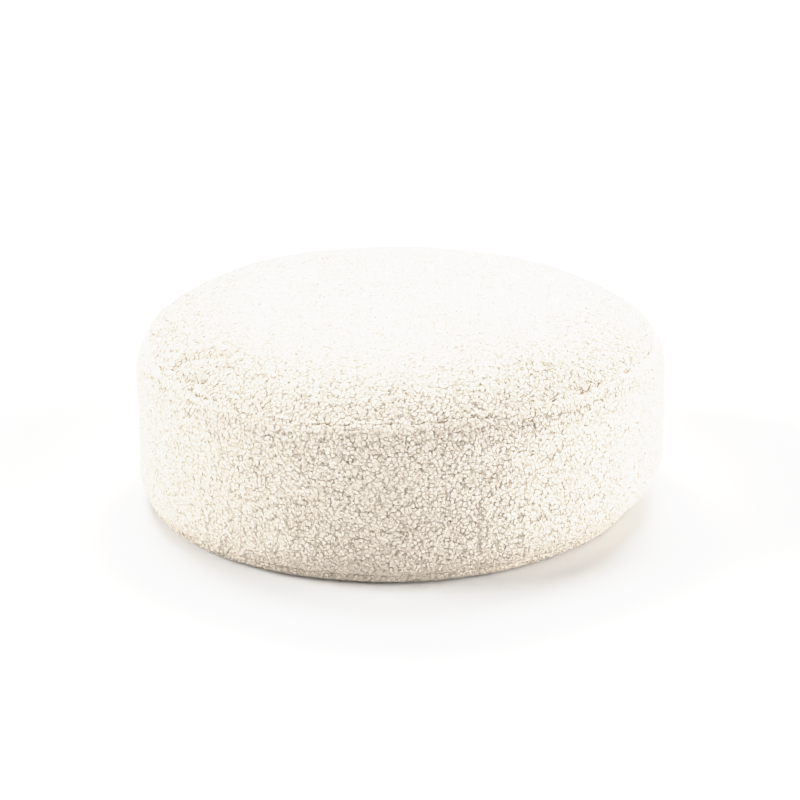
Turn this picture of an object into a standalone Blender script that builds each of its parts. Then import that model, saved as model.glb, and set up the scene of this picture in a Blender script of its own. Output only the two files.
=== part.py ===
"""Round floor pouf in curly teddy cloth: a crowned top panel and a flat base panel, sewn to a filled side band.

Each body is a section of (radius, height) points spun once round the upright axis and then settled, which
moves every point by one smooth rule: the top seam rises and falls, the base sits off centre, and two folds
pull the top panel in near the seam. Metres, +Z up, with the origin at the bottom centre of the whole box.
"""

import math

import bmesh
import bpy
import numpy as np

# Overall form, out to the tips of the pile
WIDEST_RADIUS = 0.300
SEAM_RADIUS = 0.2883
SEAM_HEIGHT = 0.182
CROWN_RISE = 0.0494
CROWN_POWER = 5.4
SHOULDER_DROP = 0.0377
SHOULDER_POWER = 1.35

# Base, where the band draws in towards the lower seam
HIP_HEIGHT = 0.0546
HIP_POWER = 1.4
BASE_SEAM_RADIUS = 0.2842
BASE_SEAM_HEIGHT = 0.0148
BASE_RIM_RADIUS = 0.2835
BASE_RIM_HEIGHT = 0.0115
FLAT_RADIUS = 0.264
BASE_SHIFT = -0.0127

# Cloth and seams
CLOTH = 0.008
BASE_CLOTH = 0.005
LIP_RADIUS = 0.004
PANEL_SET_BACK = 0.007
RIDGE_LEAN = math.radians(36)
RIDGE_END = math.radians(15)
RIDGE_DIP = 0.002
RIDGE_DIP_DROP = 0.0065
RIDGE_DIP_HALF_WIDTH = 0.004
BASE_SEAM_LEAN = math.radians(70)
TUCK_START = math.radians(-45)
GAP = 0.0003

# The top seam's rise and fall: cycles in one turn, height, angle of a crest in degrees
SEAM_WAVES = (
    (1, 0.0022, -64),
    (2, 0.0047, -38),
    (3, 0.0016, 47),
    (4, 0.0010, 42),
    (7, 0.0013, 14),
)
WAVE_FADE = 1.5

# Folds in the top panel, seen from above: start x, start y, end x, end y, depth, half width
FOLDS = (
    (-0.243, -0.118, -0.184, -0.146, 0.0030, 0.010),
    (-0.240, -0.150, -0.212, -0.171, 0.0022, 0.009),
)

# Mesh fineness
SEGMENTS = 72
CROWDING = 0.35
CROWDED_SIDE = math.radians(-148)
PANEL_RINGS = 16
BED_RINGS = 5
FLAT_RINGS = 2
ROUND_STEPS = 3
CREST_STEPS = 4
RIM_CURVE_STEPS = 4
HIP_STEPS = 6
LAST_HIP_TURN = 0.35
SHOULDER_DROPS = (0.0035, 0.0065, 0.010, 0.015, 0.023, SHOULDER_DROP)
BELLY_HEIGHTS = (0.116, 0.086)

TEDDY_CREAM = (0.863, 0.807, 0.716, 1.0)
TEDDY_ROUGHNESS = 0.95


def teddy(name):
    """Matt cream teddy cloth."""
    cloth = bpy.data.materials.new(name)
    cloth.use_nodes = True
    shader = cloth.node_tree.nodes["Principled BSDF"]
    shader.inputs["Base Color"].default_value = TEDDY_CREAM
    shader.inputs["Roughness"].default_value = TEDDY_ROUGHNESS
    shader.inputs["Metallic"].default_value = 0.0
    return cloth


def direction(angle):
    return np.array([math.cos(angle), math.sin(angle)])


def angle_of(vector):
    return math.atan2(vector[1], vector[0])


def arc(centre, radius, start, end, steps):
    """Points round a circle from one angle to another, both ends included."""
    angles = np.linspace(start, end, steps + 1)
    return centre + radius * np.stack([np.cos(angles), np.sin(angles)], axis=1)


def crown_height(reach):
    """Height of the top panel's outer face at a share of the seam's radius: it falls with a high power of
    that share, so the middle is nearly flat and the edge rounds over."""
    return SEAM_HEIGHT + CROWN_RISE * (1 - reach**CROWN_POWER)


def crown(rings, depth=0.0):
    """The line of the top panel from the axis to its rim, at a depth under its outer face, measured square
    to it. The rings crowd towards the rim."""
    reach = np.sin(np.linspace(0.0, math.pi / 2, rings + 1)) * (1 - PANEL_SET_BACK / SEAM_RADIUS)
    slope = -CROWN_POWER * CROWN_RISE / SEAM_RADIUS * reach ** (CROWN_POWER - 1)
    stretch = np.sqrt(1 + slope**2)
    radius = SEAM_RADIUS * reach + depth * slope / stretch
    return np.stack([radius, crown_height(reach) - depth / stretch], axis=1)


def floor(depth=0.0):
    """The line of the base panel from the axis to its rim, at a depth inside its outer face, measured square
    to it: flat on the floor, then a quarter ellipse up to the rim."""
    flat = np.stack([np.linspace(0.0, FLAT_RADIUS, FLAT_RINGS + 1), np.full(FLAT_RINGS + 1, depth)], axis=1)
    turn = np.linspace(math.pi / 2, 0.0, RIM_CURVE_STEPS + 1)[1:]
    width = BASE_RIM_RADIUS - FLAT_RADIUS
    inward = np.stack([-BASE_RIM_HEIGHT * np.cos(turn), width * np.sin(turn)], axis=1)
    inward = inward / np.linalg.norm(inward, axis=1, keepdims=True)
    curve = np.stack([FLAT_RADIUS + width * np.cos(turn), BASE_RIM_HEIGHT * (1 - np.sin(turn))], axis=1)
    return np.concatenate([flat, curve + depth * inward])


def side_radius(height):
    """The band's radius at a height: it swells from the top seam to the widest radius as a flattened quarter
    round, stands upright, draws in again to the base seam, and dips a little under the seam's ridge."""
    shoulder = 1 - np.clip((SEAM_HEIGHT - height) / SHOULDER_DROP, 0, 1)
    upper = (1 - shoulder**2) ** (SHOULDER_POWER / 2)
    hip = 1 - np.clip((height - BASE_SEAM_HEIGHT) / (HIP_HEIGHT - BASE_SEAM_HEIGHT), 0, 1)
    lower = (1 - hip**2) ** (HIP_POWER / 2)
    radius = SEAM_RADIUS + (WIDEST_RADIUS - SEAM_RADIUS) * upper
    radius = radius - (WIDEST_RADIUS - BASE_SEAM_RADIUS) * (1 - lower)
    below_ridge = (SEAM_HEIGHT - RIDGE_DIP_DROP - height) / RIDGE_DIP_HALF_WIDTH
    return radius - RIDGE_DIP * np.exp(-(below_ridge**2))


def crown_rim():
    """Centre of the top panel's half round rim, and the angle of the outward normal there."""
    face = crown(1)[-1]
    back = crown(1, CLOTH)[-1]
    return (face + back) / 2, angle_of(face - back)


def ridge():
    """Centre of the band's upper lip, which makes the seam's ridge, and the angle to it from the rim."""
    rim, _ = crown_rim()
    aim = np.array([SEAM_RADIUS, SEAM_HEIGHT]) - LIP_RADIUS * direction(RIDGE_LEAN)
    across = angle_of(aim - rim)
    return rim + (CLOTH / 2 + GAP + LIP_RADIUS) * direction(across), across


def base_rim():
    """Centre of the base panel's half round rim."""
    return np.array([BASE_RIM_RADIUS - BASE_CLOTH / 2, BASE_RIM_HEIGHT])


def top_panel_section():
    """The crown's outer face, the half round rim, and the underside back to the axis."""
    rim, outward = crown_rim()
    _, across = ridge()
    outer_round = arc(rim, CLOTH / 2, outward, across, ROUND_STEPS)
    inner_round = arc(rim, CLOTH / 2, across, outward - math.pi, ROUND_STEPS)
    return np.concatenate([crown(PANEL_RINGS), outer_round[1:], inner_round[1:-1], crown(BED_RINGS, CLOTH)[::-1]])


def side_band_section():
    """The filled body: the bed under the top panel, the seam's ridge, the bellied side, the lower lip, and
    the bed over the base panel."""
    rim, outward = crown_rim()
    lip, across = ridge()
    hollow = arc(rim, CLOTH / 2 + GAP, outward - math.pi, across, ROUND_STEPS)
    crest = arc(lip, LIP_RADIUS, across + math.pi, RIDGE_END, CREST_STEPS)

    turn = np.linspace(math.pi / 2, LAST_HIP_TURN, HIP_STEPS)
    hip_heights = BASE_SEAM_HEIGHT + (HIP_HEIGHT - BASE_SEAM_HEIGHT) * (1 - np.cos(turn))
    heights = np.concatenate([SEAM_HEIGHT - np.array(SHOULDER_DROPS), BELLY_HEIGHTS, hip_heights])
    side = np.stack([side_radius(heights), heights], axis=1)

    low_lip = base_rim() + (BASE_CLOTH / 2 + GAP + LIP_RADIUS) * direction(BASE_SEAM_LEAN)
    tuck = arc(low_lip, LIP_RADIUS, TUCK_START, BASE_SEAM_LEAN - math.pi, ROUND_STEPS)
    base_hollow = arc(base_rim(), BASE_CLOTH / 2 + GAP, BASE_SEAM_LEAN, math.pi, ROUND_STEPS)
    beds = crown(BED_RINGS, CLOTH + GAP), floor(BASE_CLOTH + GAP)[::-1]
    return np.concatenate([beds[0], hollow[1:], crest[1:], side, tuck, base_hollow[1:-1], beds[1]])


def base_panel_section():
    """The inner face, the half round rim, and the outer face that curves under and lies flat."""
    inner_round = arc(base_rim(), BASE_CLOTH / 2, math.pi, BASE_SEAM_LEAN, ROUND_STEPS)
    outer_round = arc(base_rim(), BASE_CLOTH / 2, BASE_SEAM_LEAN, 0.0, ROUND_STEPS)
    return np.concatenate([floor(BASE_CLOTH), inner_round[1:], outer_round[1:-1], floor()[::-1]])


def smooth_step(share):
    share = np.clip(share, 0, 1)
    return share * share * (3 - 2 * share)


def fold_depth(x, y):
    """How far the folds sink the top: a soft trough round each fold's straight line in plan."""
    sunk = np.zeros_like(x)
    for start_x, start_y, end_x, end_y, depth, half_width in FOLDS:
        run_x, run_y = end_x - start_x, end_y - start_y
        share = ((x - start_x) * run_x + (y - start_y) * run_y) / (run_x**2 + run_y**2)
        share = np.clip(share, 0, 1)
        away = np.hypot(x - start_x - share * run_x, y - start_y - share * run_y)
        sunk += depth * np.exp(-((away / half_width) ** 2))
    return sunk


def settle(points):
    """Moves an even round body to the uneven one. Its segments crowd towards the folds, the folds sink only
    the top panel's outer face, the seam's waves fade to nothing at the floor and the base slides off centre."""
    angle = np.arctan2(points[:, 1], points[:, 0])
    radius = np.hypot(points[:, 0], points[:, 1])
    angle = angle - CROWDING * np.sin(angle - CROWDED_SIDE)
    x, y, z = radius * np.cos(angle), radius * np.sin(angle), points[:, 2]
    reach = np.minimum(radius / SEAM_RADIUS, 1)
    outer_face = np.clip(1 + (z - crown_height(reach)) / CLOTH, 0, 1)
    lift = -fold_depth(x, y) * outer_face
    for cycles, height, crest in SEAM_WAVES:
        lift += height * reach ** max(2, cycles) * np.cos(cycles * (angle - math.radians(crest)))
    x = x + BASE_SHIFT * (1 - smooth_step(z / HIP_HEIGHT))
    z = z + lift * np.clip(z / SEAM_HEIGHT, 0, 1) ** WAVE_FADE
    return np.stack([x, y, z], axis=1)


def spun_body(name, section):
    """One closed body: the section spun once round the upright axis, welded at the axis, then settled."""
    shape = bmesh.new()
    outline = [shape.verts.new((radius, 0.0, height)) for radius, height in section]
    edges = [shape.edges.new(pair) for pair in zip(outline, outline[1:])]
    bmesh.ops.spin(
        shape,
        geom=outline + edges,
        cent=(0, 0, 0),
        axis=(0, 0, 1),
        angle=2 * math.pi,
        steps=SEGMENTS,
        use_merge=True,
    )
    bmesh.ops.remove_doubles(shape, verts=shape.verts, dist=0.000001)
    bmesh.ops.recalc_face_normals(shape, faces=shape.faces)
    mesh = bpy.data.meshes.new(name)
    shape.to_mesh(mesh)
    shape.free()
    points = np.empty(len(mesh.vertices) * 3)
    mesh.vertices.foreach_get("co", points)
    mesh.vertices.foreach_set("co", settle(points.reshape(-1, 3)).ravel())
    mesh.materials.append(teddy(name + "_teddy"))
    mesh.shade_smooth()
    body = bpy.data.objects.new(name, mesh)
    bpy.context.scene.collection.objects.link(body)
    return body


def centre_on_box(bodies):
    """Slides all the bodies sideways together, so that the origin is at the middle of their common box."""
    points = np.array([vertex.co[:2] for body in bodies for vertex in body.data.vertices])
    middle = (points.min(axis=0) + points.max(axis=0)) / 2
    for body in bodies:
        for vertex in body.data.vertices:
            vertex.co.x -= middle[0]
            vertex.co.y -= middle[1]


def main():
    for old in list(bpy.data.objects):
        bpy.data.objects.remove(old)
    bodies = [
        spun_body("top_panel", top_panel_section()),
        spun_body("side_band", side_band_section()),
        spun_body("base_panel", base_panel_section()),
    ]
    centre_on_box(bodies)


main()
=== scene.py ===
"""Round floor pouf in curly teddy cloth: the cloth of its three pieces, its finish, the studio and the camera.

The cloth is cut as a maker would cut it: a round top panel, a side band in two lengths joined at two upright
seams, and a round base panel. Each piece is a closed surface worked out on a grid. It lies on the form of the
solids, and its curls are domes that sink from there into the thickness of the pile.
"""

import math

import bpy
import numpy as np
from mathutils import Matrix, Vector


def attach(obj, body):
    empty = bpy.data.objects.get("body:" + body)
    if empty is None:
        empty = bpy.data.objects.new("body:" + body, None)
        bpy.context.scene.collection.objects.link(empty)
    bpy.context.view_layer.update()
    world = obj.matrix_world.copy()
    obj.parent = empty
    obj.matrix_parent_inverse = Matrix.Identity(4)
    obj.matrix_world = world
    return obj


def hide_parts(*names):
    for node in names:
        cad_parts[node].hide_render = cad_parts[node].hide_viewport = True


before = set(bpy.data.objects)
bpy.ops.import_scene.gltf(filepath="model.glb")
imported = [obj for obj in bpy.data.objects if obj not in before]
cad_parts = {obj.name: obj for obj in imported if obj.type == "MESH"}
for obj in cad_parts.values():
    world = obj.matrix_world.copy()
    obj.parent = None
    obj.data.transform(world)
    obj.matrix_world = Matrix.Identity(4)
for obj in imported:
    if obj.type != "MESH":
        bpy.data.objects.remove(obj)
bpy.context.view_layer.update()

# Form of the pouf, in metres, out to the tips of the pile. Powers shape the crown and the two quarter rounds.
WIDEST_RADIUS = 0.300
SEAM_RADIUS = 0.2883
SEAM_HEIGHT = 0.182
CROWN_RISE = 0.0494
CROWN_POWER = 5.4
SHOULDER_DROP = 0.0377
SHOULDER_POWER = 1.35
HIP_HEIGHT = 0.0546
HIP_POWER = 1.4
BASE_SEAM_RADIUS = 0.2842
BASE_SEAM_HEIGHT = 0.0148
BASE_RIM_RADIUS = 0.2835
BASE_RIM_HEIGHT = 0.0115
FLAT_RADIUS = 0.264
BASE_SHIFT = -0.0127
PANEL_SET_BACK = 0.007
RIDGE_DIP = 0.002
RIDGE_DIP_DROP = 0.0065
RIDGE_DIP_HALF_WIDTH = 0.004
# Rise and fall of the top seam: waves round the pouf, their height, and the turn of a crest in degrees
SEAM_WAVES = (
    (1, 0.0022, -64),
    (2, 0.0047, -38),
    (3, 0.0016, 47),
    (4, 0.0010, 42),
    (7, 0.0013, 14),
)
WAVE_FADE = 1.5

# Cloth and seams, in metres and radians
TOP_CLOTH = 0.008
BASE_CLOTH = 0.005
LIP_RADIUS = 0.004
GAP = 0.0003
RIDGE_LEAN = math.radians(36)
RIDGE_END = math.radians(15)
LOW_LIP_RISE = 0.0026
BASE_SEAM_LEAN = math.radians(70)
TUCK_START = math.radians(-45)
UNDER_END = math.radians(120)
HIDDEN_TURN = math.radians(-100)
HIDDEN_BOTTOM = 0.0020
BAND_DEPTH = 0.0085
BAND_BACK_ENDS = (0.004, 0.008)
JOIN_ANGLES = (math.radians(-74), math.radians(106))
JOIN_DEPTH = 0.0005
JOIN_HALF_WIDTH = 0.0018
JOIN_GAP = 0.0002

# Curls of the pile, in metres. Shake, weight and stretch are the most that a curl's middle, size and length differ
# by, and these and the reaches are shares of the pitch.
CURL_PITCH = 0.0050
CURL_SHAKE = 0.62
CURL_WEIGHT = 0.16
CURL_STRETCH = 0.40
DOME_HEIGHT = 0.0009
DOME_REACH = 0.6
LEVEL_SPREAD = 0.0005
CREASE_DEPTH = 0.0016
CREASE_REACH = 0.42
FAINTEST_CREASE = 0.25
CLUMP_CREASE = 1.25
CORNER_DEPTH = 0.0008
CLUMP_PITCH = 0.015
WOBBLE = 0.0009
WOBBLE_PITCH = 0.0045
SOFT_LUMP = 0.0009
SOFT_LUMP_PITCH = 0.045
# Painted shade that the creases between curls and their corners hold in the cloth's colour, from 0 to 1
PAINTED_CREASE_SHADE = 0.18
PAINTED_CREASE_SHADE_REACH = 0.22
PAINTED_CREASE_SHADE_POWER = 1.5
PAINTED_CORNER_SHADE = 0.25

# How much of the full depth of pile there is room for beside the top seam, under the pouf and on the base's rim,
# and the distances, in metres, over which the pile comes up to it and goes on to its full depth
SEAM_CURL_SHARE = 0.80
BASE_CURL_SHARE = 0.25
RIM_CURL_SHARE = 0.80
TOP_START, TOP_FULL_FROM, TOP_FULL_OVER = 0.002, 0.003, 0.010
BAND_START, BAND_FULL_FROM, BAND_FULL_OVER = 0.002, 0.008, 0.008
BAND_END, BAND_LOW_FULL_FROM, BAND_LOW_FULL_OVER = 0.003, 0.006, 0.010
RIM_START, RIM_REACH, RIM_FADE = 0.003, 0.034, 0.012

# Pile that stands over the groove of the top seam, in metres: how far, and where across it
SEAM_PILE = 0.0021
SEAM_PILE_MIDDLE = 0.0026
SEAM_PILE_HALF_WIDTH = 0.0022
# How closed the groove is, as shares: everywhere, by tufts, by longer stretches, where it shows most, and the limits
SEAM_COVER = 1.15
TUFT_SHARE = 0.95
TUFT_PITCH = 0.0080
STRETCH_SHARE = 0.45
STRETCH_PITCH = 0.022
OPEN_SHARE = 0.75
OPEN_SEAM_ANGLE = math.radians(-42)
OPEN_SEAM_REACH = math.radians(22)
LEAST_COVER, MOST_COVER = -0.7, 1.5
# Pile that is pressed flat along the seam's ridge, with weaker gap relief and painted shade: how much of it, how
# that changes, and where, in metres
PRESSED_SHARE = 0.32
PRESSED_CHANGE = 0.9
PRESSED_PITCH = 0.030
PRESSED_MIDDLE = 0.0080
PRESSED_HALF_WIDTH = 0.0035
# The side's pile stands loosest at the front and lies flatter to both sides, so its gaps' relief and painted shade
# are strongest at the front: how loose, and where, in radians
LOOSEST_SHARE = 1.1
FLATTER_SHARE = 0.7
LOOSEST_ANGLE = math.radians(-84)
LOOSEST_REACH = math.radians(42)
# The gaps' relief and painted shade are weaker in the middle of the top, which faces the light from above: how
# strong they are there, as a share, and out to which radius
TOP_MIDDLE_GAP_SHARE = 0.62
TOP_MIDDLE_RADIUS = 0.17

# Folds in the top panel, seen from above: the points of each, depth and half width, in metres. The last is a dimple,
# so near the seam that its sinking fades out and only its painted shade shows.
TOP_FOLDS = (
    ((-0.249, -0.123), (-0.235, -0.1165), (-0.218, -0.125), (-0.201, -0.1365), (-0.184, -0.146), 0.0032, 0.0060),
    ((-0.240, -0.150), (-0.226, -0.160), (-0.212, -0.171), 0.0024, 0.0050),
    ((0.1130, -0.2560), (0.1150, -0.2568), 0.0022, 0.0022),
)
# The distance from the seam at which their sinking has faded out, and over which it fades; their painted shade stays
FOLD_END, FOLD_FADE = 0.008, 0.006
# Short creases in the side band: turn from the right in degrees and height of each point, depth and half width.
# The last is a small hook under the seam.
BAND_FOLDS = (
    ((-156.0, 0.178), (-152.7, 0.172), 0.0010, 0.0030),
    ((-167.0, 0.162), (-159.0, 0.175), 0.0010, 0.0040),
    ((-64.6, 0.1760), (-62.7, 0.1770), (-61.9, 0.1710), (-62.6, 0.1645), (-63.6, 0.1635), 0.0003, 0.0016),
)
# The sharp fold down the middle of each, and the lips beside it, as shares of its depth and half width
CREASE_FOLD_DEPTH = 0.0008
CREASE_HALF_WIDTH = 0.0016
# painted shade down the sharp fold of each crease, from 0 to 1
CREASE_SHADE = 0.24
CREASE_LIP = 0.4
CREASE_LIP_PLACE = 1.9

# Painted shade of the pile on the faces that don't show, and painted shade over the whole base panel, down by the
# floor
HIDDEN_SHADE = 0.4
BASE_SHADE = 0.15

# Cells of the grids, and how much the outer rings of a round one are crowded towards its edge
TOP_CELLS = 290
BASE_CELLS = 280
BAND_COLUMNS = 650
BAND_ROWS = 138
EDGE_CROWDING = 0.025
CROWDING_POWER = 20
# Points of a section before the grid is laid on it, rings of the panels' backs as shares of the way out, rows of
# the band's back, and steps of noise round the seam
CROWN_STEPS, SIDE_STEPS, FLAT_STEPS, RIM_STEPS, SECTION_STEPS = 400, 500, 60, 30, 600
TOP_BACK_RINGS = (1.0, 0.94, 0.86, 0.74, 0.5)
BASE_BACK_RADIUS = 0.12
BAND_BACK_ROWS = 11
ROUND_STEPS = 4000
# Pairs of curls share this many depths of crease, and a distance past every curl, in pitches
PAIR_DEPTHS = 4096
FAR = 9.0

# Random draws of each piece, and of the stretches that all the cloth at the seam shares
TOP_SEED = 11
LEFT_SEED = 21
RIGHT_SEED = 31
BASE_SEED = 41
STRETCH_SEED = 61

# Camera, in metres and radians, and its lens in millimetres. It looks down, and is rolled by a third of a degree.
CAMERA_DISTANCE = 3.0
CAMERA_DOWN = math.radians(20.8)
CAMERA_ABOVE = 0.12
CAMERA_TARGET = (-0.001, 0.0, 0.1035)
CAMERA_ROLL = -0.006
FOCAL_LENGTH, SENSOR_WIDTH = 118.28, 36.0

# Studio: half the floor's width, the light of the room, and each lamp's name, strength, width in degrees, and the
# way that it shines from, as turn and height in degrees
FLOOR_REACH = 12.0
ROOM_LIGHT = 0.05
LAMPS = (
    ("overhead and behind", 4.6, 45, 90, 55),
    ("left", 3.55, 40, -178, 25),
    ("right in front", 1.15, 40, -35, 25),
    ("right and low", 4.4, 40, 0, 8),
)

# The photograph's response to light: where its shoulder starts and levels off, the light that is plain white, and
# the lights at which the curve has its points
SHOULDER = 0.75
CLOTH_WHITE = 0.975
BRIGHTEST = 1.75
CURVE_LIGHTS = (0.25, SHOULDER, 0.85, 1.0, 1.15, 1.3, 1.45, 1.6)


# Studio and camera
def aim_camera():
    """The camera at the photograph's angle: on an upright circle round the pouf, in front and looking down."""
    height = CAMERA_ABOVE + CAMERA_DISTANCE * math.sin(CAMERA_DOWN)
    place = Vector((0.0, -CAMERA_DISTANCE * math.cos(CAMERA_DOWN), height))
    lens = bpy.data.cameras.new("camera")
    lens.lens = FOCAL_LENGTH
    lens.sensor_width = SENSOR_WIDTH
    lens.clip_end = 5 * FLOOR_REACH
    camera = bpy.data.objects.new("camera", lens)
    bpy.context.scene.collection.objects.link(camera)
    level = (Vector(CAMERA_TARGET) - place).to_track_quat("-Z", "Y").to_matrix()
    turn = level @ Matrix.Rotation(CAMERA_ROLL, 3, "Z")
    camera.matrix_world = Matrix.Translation(place) @ turn.to_4x4()
    bpy.context.scene.camera = camera


def linear(colour):
    """An sRGB hex colour such as F3EBE0, as linear red, green, blue and alpha."""
    shares = np.array([int(colour[i : i + 2], 16) / 255 for i in (0, 2, 4)])
    shares = np.where(shares <= 0.04045, shares / 12.92, ((shares + 0.055) / 1.055) ** 2.4)
    return (*shares.tolist(), 1.0)


def add(nodes, kind, settings=(), sockets=(), links=()):
    """A node of a kind with its settings, its sockets' values, and links from other nodes' outputs."""
    node = nodes.new(kind)
    for name, value in dict(settings).items():
        setattr(node, name, value)
    for name, value in dict(sockets).items():
        node.inputs[name].default_value = value
    for name, output in dict(links).items():
        nodes.id_data.links.new(output, node.inputs[name])
    return node


def teddy_cloth():
    """Curly teddy cloth, polyester pile on a knitted ground: each curl is a tuft of fine crimped fibres, so it
    is matt and pale with a soft bright edge, and the gaps between the curls are painted a darker tan as shade."""
    # how many to the metre: curls 4.3 mm apart, their locks of crimped fibre 2.5 mm, patches of deeper gaps 6.7 mm,
    # and fuzz 0.9 mm, drawn coarser than real, because single fibres are finer than a pixel
    curls_per_metre, locks_per_metre, patches_per_metre, fuzz_per_metre = 235.0, 400.0, 150.0, 1100.0
    cloth = bpy.data.materials.new("curly_teddy_cloth")
    cloth.use_nodes = True
    nodes = cloth.node_tree.nodes
    nodes.clear()
    place = add(nodes, "ShaderNodeTexCoord").outputs["Object"]
    # painted shade worked out on the mesh: the curls' creases, the folds, the hidden faces and the base
    pile = add(nodes, "ShaderNodeAttribute", {"attribute_name": "pile"}).outputs["Fac"]
    loose = add(nodes, "ShaderNodeAttribute", {"attribute_name": "loose"}).outputs["Fac"]
    # the curls don't lie in straight rows, so the place is shaken by about a millimetre before they are drawn
    shake = add(nodes, "ShaderNodeTexNoise", {}, {"Scale": 190.0, "Detail": 1.0}, {"Vector": place})
    shaken = add(
        nodes,
        "ShaderNodeVectorMath",
        {"operation": "MULTIPLY_ADD"},
        {1: (0.0026, 0.0026, 0.0026)},
        {0: shake.outputs["Color"], 2: place},
    ).outputs[0]
    # small curls, parted by fine gaps that come and go
    parting = add(
        nodes,
        "ShaderNodeTexVoronoi",
        {"feature": "DISTANCE_TO_EDGE"},
        {"Scale": curls_per_metre},
        {"Vector": shaken},
    )
    gap = add(
        nodes,
        "ShaderNodeMapRange",
        {"interpolation_type": "SMOOTHSTEP"},
        {"From Min": 0.20, "From Max": 0.0, "To Max": 1.0},
        {"Value": parting.outputs["Distance"]},
    ).outputs[0]
    patches = add(
        nodes, "ShaderNodeTexNoise", {}, {"Scale": patches_per_metre, "Detail": 1.0}, {"Vector": place}
    )
    strong = add(
        nodes,
        "ShaderNodeMapRange",
        {},
        {"From Min": 0.34, "From Max": 0.62, "To Min": 0.60, "To Max": 1.0},
        {"Value": patches.outputs[0]},
    ).outputs[0]
    # the gaps are deepest, and their painted shade darkest, in the pits where three curls meet, which are farthest
    # from the middles of the curls
    middles = add(nodes, "ShaderNodeTexVoronoi", {}, {"Scale": curls_per_metre}, {"Vector": shaken})
    pits = add(
        nodes,
        "ShaderNodeMapRange",
        {},
        {"From Min": 0.45, "From Max": 0.85, "To Min": 0.45, "To Max": 1.25},
        {"Value": middles.outputs["Distance"]},
    ).outputs[0]
    deep = add(nodes, "ShaderNodeMath", {"operation": "MULTIPLY"}, {}, {0: strong, 1: pits}).outputs[0]
    parted = add(nodes, "ShaderNodeMath", {"operation": "MULTIPLY"}, {}, {0: gap, 1: deep}).outputs[0]
    # where the pile lies flatter, its gaps close, so their relief and painted shade are weaker
    gaps = add(nodes, "ShaderNodeMath", {"operation": "MULTIPLY"}, {}, {0: parted, 1: loose}).outputs[0]
    # painted shade: the gaps and the mesh's painted shade darken the cloth from cream on the tips to tan
    shade = add(nodes, "ShaderNodeMath", {"operation": "MULTIPLY_ADD"}, {1: -0.46}, {0: gaps, 2: pile})
    tint = add(nodes, "ShaderNodeValToRGB", {}, {}, {"Fac": shade.outputs[0]})
    # the cream at the top is the cloth's own colour, the tan and the middle stop are painted shade
    stops = tint.color_ramp.elements
    stops[0].position, stops[0].color = 0.0, linear("A69682")
    stops[1].position, stops[1].color = 0.92, linear("F6EADB")
    middle = stops.new(0.45)
    middle.color = linear("DDCFBC")
    # relief: fuzz half a millimetre deep, then the crimp of the locks, then the gaps, 1.5 mm deep
    fibre = add(
        nodes,
        "ShaderNodeTexNoise",
        {},
        {"Scale": fuzz_per_metre, "Detail": 2.0, "Roughness": 0.6},
        {"Vector": place},
    )
    fuzz = add(nodes, "ShaderNodeBump", {}, {"Strength": 0.5, "Distance": 0.0005}, {"Height": fibre.outputs[0]})
    locks = add(nodes, "ShaderNodeTexVoronoi", {}, {"Scale": locks_per_metre}, {"Vector": shaken})
    crimp = add(
        nodes,
        "ShaderNodeBump",
        {"invert": True},
        {"Strength": 0.8, "Distance": 0.0007},
        {"Height": locks.outputs["Distance"], "Normal": fuzz.outputs[0]},
    )
    relief = add(
        nodes,
        "ShaderNodeBump",
        {"invert": True},
        {"Strength": 1.0, "Distance": 0.0015},
        {"Height": gaps, "Normal": crimp.outputs[0]},
    )
    finish = add(
        nodes,
        "ShaderNodeBsdfPrincipled",
        {},
        {
            "Roughness": 0.95,
            "Specular IOR Level": 0.2,
            "Sheen Weight": 0.35,
            "Sheen Roughness": 0.5,
            "Sheen Tint": linear("FFF8EE"),
        },
        {"Base Color": tint.outputs[0], "Normal": relief.outputs[0]},
    )
    add(nodes, "ShaderNodeOutputMaterial", {}, {}, {"Surface": finish.outputs[0]})
    return cloth


def studio():
    """A plain white floor in a dim room, with four wide lamps: one overhead and behind, one at the left, a weak
    one at the right in front, and a low one at the right. The middle of the front gets the least light."""
    # matt emulsion on a board: no shine at all
    paint = bpy.data.materials.new("white_floor_paint")
    paint.use_nodes = True
    shader = paint.node_tree.nodes["Principled BSDF"]
    shader.inputs["Base Color"].default_value = linear("F5F5F5")
    shader.inputs["Roughness"].default_value = 0.9
    shader.inputs["Specular IOR Level"].default_value = 0.0
    plane = bpy.data.meshes.new("floor")
    corners = [(x * FLOOR_REACH, y * FLOOR_REACH, 0.0) for x, y in ((-1, -1), (1, -1), (1, 1), (-1, 1))]
    plane.from_pydata(corners, [], [(0, 1, 2, 3)])
    plane.materials.append(paint)
    ground = bpy.data.objects.new("floor", plane)
    bpy.context.scene.collection.objects.link(ground)

    room = bpy.data.worlds.new("studio")
    room.use_nodes = True
    air = room.node_tree.nodes["Background"]
    air.inputs["Color"].default_value = (1.0, 1.0, 1.0, 1.0)
    air.inputs["Strength"].default_value = ROOM_LIGHT
    bpy.context.scene.world = room

    for name, strength, width, turn, height in LAMPS:
        lamp = bpy.data.lights.new(name, "SUN")
        lamp.energy = strength
        lamp.angle = math.radians(width)
        holder = bpy.data.objects.new(name, lamp)
        turn, height = math.radians(turn), math.radians(height)
        way = Vector((math.cos(turn) * math.cos(height), math.sin(turn) * math.cos(height), math.sin(height)))
        holder.matrix_world = way.to_track_quat("Z", "Y").to_matrix().to_4x4()
        bpy.context.scene.collection.objects.link(holder)


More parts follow.
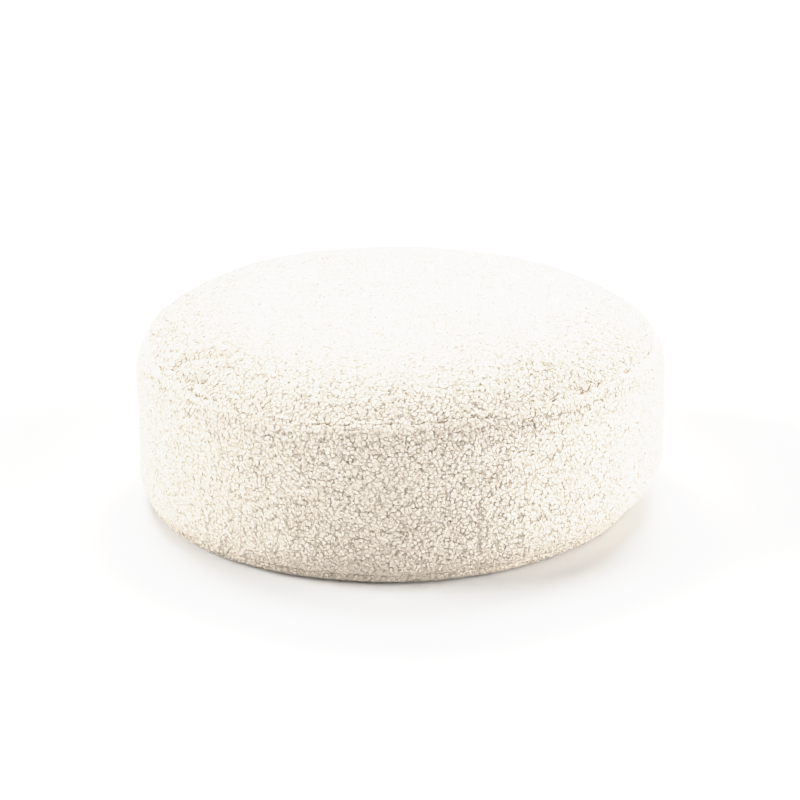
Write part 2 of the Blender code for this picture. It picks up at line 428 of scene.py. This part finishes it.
def print_paper():
    """The photograph's response to light: true up to three quarters of white, then a soft shoulder that levels
    off at CLOTH_WHITE, which is why the brightest cloth is nearly white and still shows its form. The floor,
    brighter still, is plain white."""
    view = bpy.context.scene.view_settings
    view.view_transform = "Standard"
    view.use_curve_mapping = True
    mapping = view.curve_mapping
    mapping.white_level = (BRIGHTEST, BRIGHTEST, BRIGHTEST)
    curve = mapping.curves[3]
    curve.points[0].location = (0.0, 0.0)
    curve.points[1].location = (1.0, 1.0)
    room = CLOTH_WHITE - SHOULDER
    for light in CURVE_LIGHTS:
        past = max(light - SHOULDER, 0.0) / room
        curve.points.new(light / BRIGHTEST, min(light, SHOULDER) + room * (1 - math.exp(-past)))
    mapping.update()


# Form
def direction(angle):
    """The arrow of length one at an angle."""
    return np.array([math.cos(angle), math.sin(angle)])


def angle_of(arrow):
    """The angle that an arrow points at."""
    return math.atan2(arrow[1], arrow[0])


def arc(centre, radius, start, end, steps=24):
    """Points round a circle from one angle to another, both ends included."""
    angles = np.linspace(start, end, steps + 1)
    return centre + radius * np.stack([np.cos(angles), np.sin(angles)], axis=1)


def smooth_step(share):
    """0 up to 0, 1 from 1 on, and between them three times the square less twice the cube."""
    share = np.clip(share, 0, 1)
    return share * share * (3 - 2 * share)


def bell(distance, half_width):
    """1 at no distance and falling to 0 on both sides: e to the minus square of the distance in half widths."""
    return np.exp(-((distance / half_width) ** 2))


def near_angle(angle, middle, reach):
    """A bell round the pouf: 1 at an angle, falling to 0 on both sides of it."""
    return bell((angle - middle + math.pi) % (2 * math.pi) - math.pi, reach)


def crown_height(reach):
    """Height of the top at a share of the seam's radius: it falls with a high power of that share."""
    return SEAM_HEIGHT + CROWN_RISE * (1 - reach**CROWN_POWER)


def crown_slope(reach):
    """Slope of the top there: what its height changes by for each step outwards."""
    return -CROWN_POWER * CROWN_RISE / SEAM_RADIUS * reach ** (CROWN_POWER - 1)


def side_radius(height):
    """The side's radius at a height: a flattened quarter round under the top seam, an upright belly, a second
    quarter round down to the base seam, and a small dip under the seam's ridge."""
    shoulder = 1 - np.clip((SEAM_HEIGHT - height) / SHOULDER_DROP, 0, 1)
    upper = (1 - shoulder**2) ** (SHOULDER_POWER / 2)
    hip = 1 - np.clip((height - BASE_SEAM_HEIGHT) / (HIP_HEIGHT - BASE_SEAM_HEIGHT), 0, 1)
    lower = (1 - hip**2) ** (HIP_POWER / 2)
    radius = SEAM_RADIUS + (WIDEST_RADIUS - SEAM_RADIUS) * upper
    radius = radius - (WIDEST_RADIUS - BASE_SEAM_RADIUS) * (1 - lower)
    return radius - RIDGE_DIP * bell(SEAM_HEIGHT - RIDGE_DIP_DROP - height, RIDGE_DIP_HALF_WIDTH)


def settle(points):
    """Moves an even round form to the uneven one: the seam's waves lift it, in full at the seam and not at all
    at the floor, and its base slides to the left."""
    x, y, z = points[..., 0], points[..., 1], points[..., 2]
    reach = np.minimum(np.hypot(x, y) / SEAM_RADIUS, 1)
    angle = np.arctan2(y, x)
    lift = np.zeros_like(x)
    for waves, height, crest in SEAM_WAVES:
        lift += height * reach ** max(2, waves) * np.cos(waves * (angle - math.radians(crest)))
    moved_x = x + BASE_SHIFT * (1 - smooth_step(z / HIP_HEIGHT))
    moved_z = z + lift * np.clip(z / SEAM_HEIGHT, 0, 1) ** WAVE_FADE
    return np.stack([moved_x, y, moved_z], axis=-1)


def even_line(points, count):
    """The same line with count points, evenly spaced along it, with its outward normals and how far along it
    each point lies. Outward is to the left of the way that the line runs."""
    steps = np.linalg.norm(np.diff(points, axis=0), axis=1)
    along = np.concatenate([[0.0], np.cumsum(steps)])
    keep = np.concatenate([[True], steps > 1e-9])
    along, points = along[keep], points[keep]
    wanted = np.linspace(0, along[-1], count)
    line = np.stack([np.interp(wanted, along, points[:, k]) for k in (0, 1)], axis=1)
    run = np.gradient(line, wanted, axis=0)
    run /= np.linalg.norm(run, axis=1, keepdims=True)
    return line, np.stack([-run[:, 1], run[:, 0]], axis=1), wanted


def turned(radius, height, angle):
    """One list of the points at radii and heights, turned about the upright axis to angles."""
    return np.stack([radius * np.cos(angle), radius * np.sin(angle), height + 0 * angle], axis=-1).reshape(-1, 3)


def crown_rim():
    """Centre of the top panel's half round rim, and the angle of the outward normal there."""
    reach = 1 - PANEL_SET_BACK / SEAM_RADIUS
    slope = crown_slope(reach)
    normal = np.array([-slope, 1.0]) / math.hypot(slope, 1.0)
    edge = np.array([SEAM_RADIUS * reach, crown_height(reach)])
    return edge - TOP_CLOTH / 2 * normal, angle_of(normal)


def ridge():
    """Centre of the lip that makes the seam's ridge, and the angle to it from the top panel's rim."""
    rim, _ = crown_rim()
    aim = np.array([SEAM_RADIUS, SEAM_HEIGHT]) - LIP_RADIUS * direction(RIDGE_LEAN)
    across = angle_of(aim - rim)
    return rim + (TOP_CLOTH / 2 + GAP + LIP_RADIUS) * direction(across), across


def base_rim():
    """Centre of the base panel's half round rim."""
    return np.array([BASE_RIM_RADIUS - BASE_CLOTH / 2, BASE_RIM_HEIGHT])


# Pile. Each piece has its own seed, and its draws are told apart by what is added to it.
def lattice(shape, seed, columns):
    """Random numbers from 0 to 1 for each point of a lattice, the same each run."""
    return np.random.default_rng(seed).random((*shape, columns))


def soft_noise(across, along, pitch, seed):
    """Smooth noise from -1 to 1: random values on a square lattice, blended by smooth steps each way."""
    u, v = across / pitch, along / pitch
    i, j = np.floor(u).astype(int), np.floor(v).astype(int)
    fu, fv = smooth_step(u - i), smooth_step(v - j)
    i, j = i - i.min(), j - j.min()
    values = lattice((i.max() + 2, j.max() + 2), seed, 1)[..., 0] * 2 - 1
    low = values[i, j] * (1 - fu) + values[i + 1, j] * fu
    high = values[i, j + 1] * (1 - fu) + values[i + 1, j + 1] * fu
    return low * (1 - fv) + high * fv


def curls(across, along, seed):
    """How far the face of the pile lies under its tips, in metres, and how dark the shade painted into its colour
    is, from 0 on a curl to 1 deep in a gap. The curls are the cells round the middles of a shaken six sided lattice,
    longer one way than the other. Each is a low dome at a level of its own, and where two meet it falls into a
    crease, as the square of the share of the way there. Each pair's crease has a depth of its own, it is deeper
    between curls of different clumps, and deepest in the corner where three curls meet. The painted shade is
    darkest in the creases and their corners."""
    across, along = (
        across + WOBBLE * soft_noise(across, along, WOBBLE_PITCH, seed + 1),
        along + WOBBLE * soft_noise(across, along, WOBBLE_PITCH, seed + 2),
    )
    row_pitch = math.sqrt(0.75)
    u, v = across / CURL_PITCH, along / (CURL_PITCH * row_pitch)
    u, v = u - math.floor(u.min()) + 4, v - math.floor(v.min()) + 4
    i, j = np.floor(u).astype(int), np.floor(v).astype(int)
    v = v * row_pitch
    shape = (i.max() + 5, j.max() + 5)
    dice = lattice(shape, seed, 6)
    row, column = np.meshgrid(np.arange(shape[1]), np.arange(shape[0]))
    middle_u = column + 0.5 * (row % 2) + 0.5 + CURL_SHAKE * (dice[..., 0] - 0.5)
    middle_v = (row + 0.5 + CURL_SHAKE * (dice[..., 1] - 0.5)) * row_pitch
    weight = CURL_WEIGHT * dice[..., 2]
    lean = math.pi * dice[..., 3]
    longer = 1 + CURL_STRETCH * dice[..., 4]
    level = dice[..., 5]
    clump = clump_of(middle_u * CURL_PITCH, middle_v * CURL_PITCH, seed + 3)
    number = np.arange(row.size).reshape(shape)
    near = [np.full(u.shape, FAR) for _ in range(3)]
    owner = [np.zeros(u.shape, int) for _ in range(2)]
    for di in range(-2, 3):
        for dj in range(-2, 3):
            at = (i + di, j + dj)
            du, dv = u - middle_u[at], v - middle_v[at]
            c, s = np.cos(lean[at]), np.sin(lean[at])
            long_way, short_way = (c * du + s * dv) / longer[at], (c * dv - s * du)
            away = long_way**2 + short_way**2 - weight[at]
            first, second = away < near[0], away < near[1]
            near[2] = np.where(second, near[1], np.minimum(near[2], away))
            near[1] = np.where(first, near[0], np.where(second, away, near[1]))
            owner[1] = np.where(first, owner[0], np.where(second, number[at], owner[1]))
            near[0] = np.where(first, away, near[0])
            owner[0] = np.where(first, number[at], owner[0])
    to_edge, to_corner = (near[1] - near[0]) / 2, (near[2] - near[0]) / 2
    crease, corner = (np.clip(1 - way / CREASE_REACH, 0, 1) ** 2 for way in (to_edge, to_corner))
    pairs = lattice((PAIR_DEPTHS,), seed + 5, 1)[:, 0]
    pair = (owner[0] * owner[1] + owner[0] + owner[1]) % PAIR_DEPTHS
    strength = FAINTEST_CREASE + (1 - FAINTEST_CREASE) * pairs[pair]
    apart = clump.ravel()[owner[0]] != clump.ravel()[owner[1]]
    strength = np.where(apart, CLUMP_CREASE, strength)
    from_middle = near[0] + weight.ravel()[owner[0]]
    depth = DOME_HEIGHT * np.clip(from_middle, 0, DOME_REACH) / DOME_REACH
    depth = depth + LEVEL_SPREAD * level.ravel()[owner[0]] * (1 - crease)
    depth = depth + CREASE_DEPTH * strength * crease + CORNER_DEPTH * crease * corner
    # painted shade in the cloth's colour, darkest in the creases and in their corners
    painted_shade = PAINTED_CREASE_SHADE * strength * np.clip(1 - to_edge / PAINTED_CREASE_SHADE_REACH, 0, 1) ** PAINTED_CREASE_SHADE_POWER
    return depth, np.clip(painted_shade + PAINTED_CORNER_SHADE * crease * corner, 0, 1)


def clump_of(across, along, seed):
    """Which clump each curl belongs to: the nearest point of a coarser shaken lattice."""
    u, v = across / CLUMP_PITCH, along / CLUMP_PITCH
    u, v = u - math.floor(u.min()) + 1, v - math.floor(v.min()) + 1
    i, j = np.floor(u).astype(int), np.floor(v).astype(int)
    shape = (i.max() + 3, j.max() + 3)
    dice = lattice(shape, seed, 2)
    nearest = np.full(u.shape, FAR)
    found = np.zeros(u.shape, int)
    for di in (-1, 0, 1):
        for dj in (-1, 0, 1):
            at = (i + di, j + dj)
            away = np.hypot(u - at[0] - dice[at][..., 0], v - at[1] - dice[at][..., 1])
            closer = away < nearest
            nearest = np.where(closer, away, nearest)
            found = np.where(closer, at[0] * shape[1] + at[1], found)
    return found


def pile_on(across, along, share, seed):
    """How far the cloth's face lies from the form, in metres, outward positive, and the painted shade of the pile,
    from 0 in its gaps to 1 on its tips. share is how much of the full depth of pile there is room for."""
    depth, dark = curls(across, along, seed)
    lump = SOFT_LUMP * soft_noise(across, along, SOFT_LUMP_PITCH, seed + 4)
    return share * (lump - depth), 1 - dark * np.clip(share / SEAM_CURL_SHARE, 0, 1)


def creases_in(across, along, lines):
    """How far creases sink at each place, in metres, and how much painted shade they hold in the cloth's colour,
    from
    0 to 1. Each is a soft trough round a line of points, with a low lip along both sides and a sharp fold down its
    middle, and each of these is a bell of the distance from the line. The painted shade lies along the sharp fold."""
    sunk, shade = np.zeros_like(across), np.zeros_like(across)
    for *corners, depth, half_width in lines:
        away = np.full(across.shape, FAR)
        for (x0, y0), (x1, y1) in zip(corners, corners[1:]):
            run_x, run_y = x1 - x0, y1 - y0
            share = np.clip(((across - x0) * run_x + (along - y0) * run_y) / (run_x**2 + run_y**2), 0, 1)
            away = np.minimum(away, np.hypot(across - x0 - share * run_x, along - y0 - share * run_y))
        fold = bell(away, CREASE_HALF_WIDTH)
        sunk += depth * bell(away, half_width)
        sunk -= CREASE_LIP * depth * bell(away - CREASE_LIP_PLACE * half_width, half_width)
        sunk += CREASE_FOLD_DEPTH * fold
        shade = np.maximum(shade, CREASE_SHADE * fold)
    return sunk, shade


def round_noise(angle, pitch, seed):
    """Smooth noise from -1 to 1 round the top seam, the same for each cloth that meets there."""
    turn = np.linspace(-1.5 * math.pi, 0.5 * math.pi, ROUND_STEPS + 1)
    return np.interp(angle, turn, soft_noise(turn * SEAM_RADIUS, 0 * turn, pitch, seed), period=2 * math.pi)


def closed_seam(angle, to_seam, seed):
    """How far the pile stands out over the groove of the top seam, in metres. Round the pouf it comes and goes
    every couple of curls and in longer stretches, and it is thinnest at the front right, where the groove shows
    most. Across, it is a bell beside the line where the two cloths meet."""
    cover = SEAM_COVER + TUFT_SHARE * round_noise(angle, TUFT_PITCH, seed)
    cover = cover + STRETCH_SHARE * round_noise(angle, STRETCH_PITCH, STRETCH_SEED)
    cover = cover - OPEN_SHARE * near_angle(angle, OPEN_SEAM_ANGLE, OPEN_SEAM_REACH)
    cover = np.clip(cover, LEAST_COVER, MOST_COVER)
    return SEAM_PILE * cover * bell(to_seam - SEAM_PILE_MIDDLE, SEAM_PILE_HALF_WIDTH)


def loose_pile(angle, from_seam, seed):
    """How free the pile of the side is, from 1 where its curls stand loose to 0 where it is pressed flat; it scales
    the gaps' relief and their painted shade. It is loosest at the front, and pressed along the seam's ridge, in a
    band that comes and goes."""
    free = FLATTER_SHARE + (LOOSEST_SHARE - FLATTER_SHARE) * near_angle(angle, LOOSEST_ANGLE, LOOSEST_REACH)
    pressed = PRESSED_SHARE * (1 + PRESSED_CHANGE * round_noise(angle, PRESSED_PITCH, seed))
    return free * (1 - np.clip(pressed, 0, 1) * bell(from_seam - PRESSED_MIDDLE, PRESSED_HALF_WIDTH))


# Meshes
def cloth_piece(name, points, faces, shade, loose, cloth, flat_faces=0):
    """A closed mesh from its points and faces, smooth but for its last few faces, with the pile's painted shade and
    how loose the pile is. The points of its outer face come first, and each of them has both values; the other
    points get the darker painted shade of the faces that don't show."""
    mesh = bpy.data.meshes.new(name)
    mesh.from_pydata(points.tolist(), [], faces)
    # the pile attribute is painted shade, darker on the faces that don't show
    for label, values, hidden in (("pile", shade, HIDDEN_SHADE), ("loose", loose, 0.0)):
        rest = np.full(len(points) - values.size, hidden)
        both = np.concatenate([values.reshape(-1), rest]).astype(np.float32)
        mesh.attributes.new(label, "FLOAT", "POINT").data.foreach_set("value", both)
    smooth = np.ones(len(faces), bool)
    smooth[len(faces) - flat_faces :] = False
    mesh.polygons.foreach_set("use_smooth", smooth)
    mesh.materials.append(cloth)
    mesh.validate()
    piece = bpy.data.objects.new(name, mesh)
    bpy.context.scene.collection.objects.link(piece)
    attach(piece, "root")
    return piece


def disc_grid(cells):
    """A square grid drawn out to a round one: each square ring becomes a round ring of the same share of the
    radius, with its points evenly turned. Gives the share of the radius and the angle at each point."""
    a, b = np.meshgrid(np.linspace(-1, 1, cells + 1), np.linspace(-1, 1, cells + 1), indexing="ij")
    share = np.maximum(np.abs(a), np.abs(b))
    steady = np.where(share > 1e-9, share, 1.0)
    sideways = np.abs(a) >= np.abs(b)
    angle = np.where(sideways, math.pi / 4 * b / steady, math.pi / 2 - math.pi / 4 * a / steady)
    angle = np.where(sideways & (a < 0), math.pi - math.pi / 4 * b / steady, angle)
    angle = np.where(~sideways & (b < 0), -math.pi / 2 + math.pi / 4 * a / steady, angle)
    return share, angle


def disc_faces(cells, rings, downward):
    """Quads of the round grid, of the rings that follow its edge, and of the fan that closes them, and which
    points make the edge. The points are the grid's, then each ring's, then the middle of the fan."""
    index = np.arange((cells + 1) ** 2).reshape(cells + 1, cells + 1)
    quads = np.stack([index[:-1, :-1], index[1:, :-1], index[1:, 1:], index[:-1, 1:]], axis=-1).reshape(-1, 4)
    edge = np.concatenate([index[-1, :-1], index[1:, -1][::-1], index[0, 1:][::-1], index[:-1, 0]])
    loops = [edge] + [(cells + 1) ** 2 + k * 4 * cells + np.arange(4 * cells) for k in range(rings)]
    strips = [
        np.stack([outer, inner, np.roll(inner, -1), np.roll(outer, -1)], axis=-1)
        for outer, inner in zip(loops, loops[1:])
    ]
    middle = np.full(4 * cells, (cells + 1) ** 2 + rings * 4 * cells)
    fan = np.stack([loops[-1], middle, np.roll(loops[-1], -1)], axis=-1)
    if downward:
        quads, strips, fan = quads[:, ::-1], [strip[:, ::-1] for strip in strips], fan[:, ::-1]
    return [*quads.tolist(), *np.concatenate(strips).tolist(), *fan.tolist()], edge


def dress_top(radius, angle, to_seam, rise, shade):
    """The top panel's folds, whose sinking fades out towards the seam while their painted shade stays, and its pile
    that stands over the seam's groove. The gaps' relief and painted shade are full at the seam and weaker in the
    middle, which faces the light from above."""
    # the folds' painted shade is taken off in full; only their sinking fades out near the seam
    sunk, dark = creases_in(radius * np.cos(angle), radius * np.sin(angle), TOP_FOLDS)
    rise = rise - sunk * smooth_step((to_seam - FOLD_END) / FOLD_FADE) + closed_seam(angle, to_seam, TOP_SEED)
    # the gaps' relief and painted shade are full at the seam and weaker in the middle of the top
    outwards = smooth_step((radius - TOP_MIDDLE_RADIUS) / (SEAM_RADIUS - TOP_MIDDLE_RADIUS))
    return rise, shade - dark, TOP_MIDDLE_GAP_SHARE + (1 - TOP_MIDDLE_GAP_SHARE) * outwards


def dress_base(radius, angle, to_seam, rise, shade):
    """The base panel's pile: darkened a little by painted shade, and loose all over."""
    # painted shade over the whole base panel
    return rise, shade - BASE_SHADE, np.ones_like(radius)


def round_panel(name, cells, section, room, back, seed, dress, cloth, slide, downward=False):
    """A round panel. Its outer face is a section of radius and height turned about the upright axis on a round
    grid, whose outer rings are crowded towards the edge by a high power, with the pile on it. It stays above the
    floor. Its back is a few rings of radius and height, turned in the same way."""
    line, normals, along = section
    share, angle = disc_grid(cells)
    at = along[-1] * (share - EDGE_CROWDING * share**CROWDING_POWER) / (1 - EDGE_CROWDING)
    radius, height = (np.interp(at, along, line[:, k]) for k in (0, 1))
    out, up = (np.interp(at, along, normals[:, k]) for k in (0, 1))
    rise, shade = pile_on(at * np.cos(angle), at * np.sin(angle), np.interp(at, along, room), seed)
    rise, shade, loose = dress(radius, angle, along[-1] - at, rise, shade)
    face = turned(radius + out * rise, np.maximum(height + up * rise, 0.0), angle)
    faces, edge = disc_faces(cells, len(back) - 1, downward)
    edge_angle = angle.reshape(-1)[edge]
    rings = [turned(ring_radius, ring_height, edge_angle) for ring_radius, ring_height in back[:-1]]
    middle = np.array([[0.0, 0.0, back[-1][1]]])
    points = settle(np.concatenate([face, *rings, middle])) - slide
    return cloth_piece(name, points, faces, shade, loose, cloth)


def top_panel(cloth, slide):
    """The round top panel: the crowned face out to the seam, the half round rim, and the back, which is the
    crown moved inwards by the thickness of the cloth."""
    rim, outward = crown_rim()
    _, across = ridge()
    edge_reach = 1 - PANEL_SET_BACK / SEAM_RADIUS
    reach = np.linspace(0, edge_reach, CROWN_STEPS)
    crown = np.stack([SEAM_RADIUS * reach, crown_height(reach)], axis=1)
    edge = arc(rim, TOP_CLOTH / 2, outward, across)
    line, normals, along = even_line(np.concatenate([crown, edge]), SECTION_STEPS)
    to_edge = along[-1] - along
    room = SEAM_CURL_SHARE * smooth_step(to_edge / TOP_START)
    room = room + (1 - SEAM_CURL_SHARE) * smooth_step((to_edge - TOP_FULL_FROM) / TOP_FULL_OVER)
    under_rim = arc(rim, TOP_CLOTH / 2, across, outward - math.pi, 4)[1:-1]
    back_reach = np.array(TOP_BACK_RINGS) * edge_reach
    slope = crown_slope(back_reach)
    inwards = TOP_CLOTH / np.hypot(slope, 1)
    rings = np.stack([SEAM_RADIUS * back_reach + inwards * slope, crown_height(back_reach) - inwards], axis=1)
    back = np.concatenate([under_rim, rings, [[0.0, crown_height(0.0) - TOP_CLOTH]]])
    section = (line, normals, along)
    panel = round_panel("top_cloth", TOP_CELLS, section, room, back, TOP_SEED, dress_top, cloth, slide)
    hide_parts("top_panel")
    return panel


def base_panel(cloth, slide):
    """The round base panel: flat on the floor with its pile pressed flat, then turned up to the base seam in a
    quarter of an oval, with deeper pile, and the half round rim."""
    rim = base_rim()
    turn = np.linspace(math.pi / 2, 0.0, RIM_STEPS)
    width = BASE_RIM_RADIUS - FLAT_RADIUS
    curve = np.stack([FLAT_RADIUS + width * np.cos(turn), BASE_RIM_HEIGHT * (1 - np.sin(turn))], axis=1)
    edge = arc(rim, BASE_CLOTH / 2, 0.0, BASE_SEAM_LEAN)
    flat = np.stack([np.linspace(0, FLAT_RADIUS, FLAT_STEPS), np.zeros(FLAT_STEPS)], axis=1)[:-1]
    line, normals, along = even_line(np.concatenate([flat, curve, edge[1:]]), SECTION_STEPS)
    to_edge = along[-1] - along
    room = BASE_CURL_SHARE + (RIM_CURL_SHARE - BASE_CURL_SHARE) * smooth_step((RIM_REACH - to_edge) / RIM_FADE)
    room = room * smooth_step(to_edge / RIM_START)
    over_rim = arc(rim, BASE_CLOTH / 2, BASE_SEAM_LEAN, math.pi, 4)[1:-1]
    inner = rim + np.array([[-BASE_CLOTH / 2, 0.0]])
    flat_back = [[FLAT_RADIUS, BASE_CLOTH], [BASE_BACK_RADIUS, BASE_CLOTH], [0.0, BASE_CLOTH]]
    back = np.concatenate([over_rim, inner, flat_back])
    section = (line, -normals, along)
    panel = round_panel("base_cloth", BASE_CELLS, section, room, back, BASE_SEED, dress_base, cloth, slide, True)
    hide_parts("base_panel")
    return panel


def band_line():
    """The band's outer face from the hollow under the top panel's rim, over the seam's ridge, down the side and
    round the lower lip into the hollow over the base panel's rim."""
    rim, _ = crown_rim()
    lip, across = ridge()
    hollow = arc(rim, TOP_CLOTH / 2 + GAP, HIDDEN_TURN, across)
    crest = arc(lip, LIP_RADIUS, across + math.pi, RIDGE_END)
    heights = np.linspace(crest[-1][1], BASE_SEAM_HEIGHT + LOW_LIP_RISE, SIDE_STEPS)[1:]
    side = np.stack([side_radius(heights), heights], axis=1)
    low_lip = base_rim() + (BASE_CLOTH / 2 + GAP + LIP_RADIUS) * direction(BASE_SEAM_LEAN)
    tuck = arc(low_lip, LIP_RADIUS, TUCK_START, BASE_SEAM_LEAN - math.pi)
    under = arc(base_rim(), BASE_CLOTH / 2 + GAP, BASE_SEAM_LEAN, UNDER_END)[1:]
    return even_line(np.concatenate([hollow, crest[1:], side, tuck, under]), BAND_ROWS + 1)


def band_room(from_seam, from_base):
    """How much of the full depth of pile there is room for at distances from the top seam and the base seam, and
    how clear of both seams the cloth is, from 0 to 1."""
    room = SEAM_CURL_SHARE * smooth_step(from_seam / BAND_START) * smooth_step(from_base / BAND_END)
    clear = smooth_step((from_seam - BAND_FULL_FROM) / BAND_FULL_OVER)
    clear = clear * smooth_step((from_base - BAND_LOW_FULL_FROM) / BAND_LOW_FULL_OVER)
    return room + (1 - SEAM_CURL_SHARE) * clear, clear


def band_folds():
    """The side band's creases, with each point's turn as a distance round the widest radius."""
    return [
        (*((math.radians(turn) * WIDEST_RADIUS, height) for turn, height in points), depth, half_width)
        for *points, depth, half_width in BAND_FOLDS
    ]


def band_faces(columns, face_rows, back_rows):
    """Quads between each column of points and the next, all the way round the outer face and the back, and a
    face over each end. The points are the outer face's, column by column, then the back's."""
    outer = np.arange(columns * face_rows).reshape(columns, face_rows)
    inner = outer.size + np.arange(columns * back_rows).reshape(columns, back_rows)
    index = np.concatenate([outer, inner], axis=1)
    beside = np.roll(index, -1, axis=1)
    quads = np.stack([index[:-1], beside[:-1], beside[1:], index[1:]], axis=-1).reshape(-1, 4)
    return [*quads.tolist(), index[0, ::-1].tolist(), index[-1].tolist()]


def side_band(name, start, end, seed, cloth, slide):
    """One length of the side band: the outer line carried round from one join to the other with the pile and
    the creases on it, drawn in at the joins, the back of the cloth inside it, and both ends closed."""
    line, normals, along = band_line()
    angle = np.linspace(start + JOIN_GAP, end - JOIN_GAP, BAND_COLUMNS + 1)[:, None]
    along = along[None, :]
    _, across = ridge()
    from_seam = along - (TOP_CLOTH / 2 + GAP) * (across - HIDDEN_TURN)
    room, clear = band_room(from_seam, along[:, -1:] - along - HIDDEN_BOTTOM)
    distance = (angle - start) * WIDEST_RADIUS
    rise, shade = pile_on(distance + 0 * along, along + 0 * distance, room + 0 * distance, seed)
    sunk, dark = creases_in(angle * WIDEST_RADIUS + 0 * along, line[:, 1] + 0 * distance, band_folds())
    to_join = np.minimum(angle - start, end - angle) * WIDEST_RADIUS
    rise = rise - (JOIN_DEPTH * bell(to_join, JOIN_HALF_WIDTH) + sunk) * clear
    rise = rise + closed_seam(angle, from_seam, seed) * (from_seam > 0)
    rise[[0, -1]] = -JOIN_DEPTH * clear
    loose = loose_pile(angle, from_seam, seed + 6)

    back_height = np.linspace(line[-1, 1] + BAND_BACK_ENDS[0], SEAM_HEIGHT - BAND_BACK_ENDS[1], BAND_BACK_ROWS)
    face = turned(line[:, 0] + normals[:, 0] * rise, line[:, 1] + normals[:, 1] * rise, angle)
    back = turned(side_radius(back_height) - BAND_DEPTH, back_height, angle)
    points = settle(np.concatenate([face, back])) - slide
    faces = band_faces(BAND_COLUMNS + 1, BAND_ROWS + 1, BAND_BACK_ROWS)
    # the cloth's colour takes the painted shade of the curls' gaps and of the creases
    band = cloth_piece(name, points, faces, shade - dark, loose, cloth, flat_faces=2)
    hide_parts("side_band")
    return band


def middle_of_form():
    """How far the settled form's middle lies from the axis that it was turned about, sideways."""
    line, _, _ = band_line()
    points = settle(turned(line[:, 0], line[:, 1], np.linspace(0, 2 * math.pi, 721)[:, None]))
    middle = (points.min(axis=0) + points.max(axis=0)) / 2
    return np.array([middle[0], middle[1], 0.0])


def main():
    """The camera, the studio and the response to light, then each piece of cloth, slid so that the middle of the
    whole form stands over the origin, as the solids do."""
    aim_camera()
    studio()
    print_paper()
    cloth = teddy_cloth()
    slide = middle_of_form()
    front_join, back_join = JOIN_ANGLES
    top_panel(cloth, slide)
    side_band("left_band_cloth", back_join - 2 * math.pi, front_join, LEFT_SEED, cloth, slide)
    side_band("right_band_cloth", front_join, back_join, RIGHT_SEED, cloth, slide)
    base_panel(cloth, slide)


main()
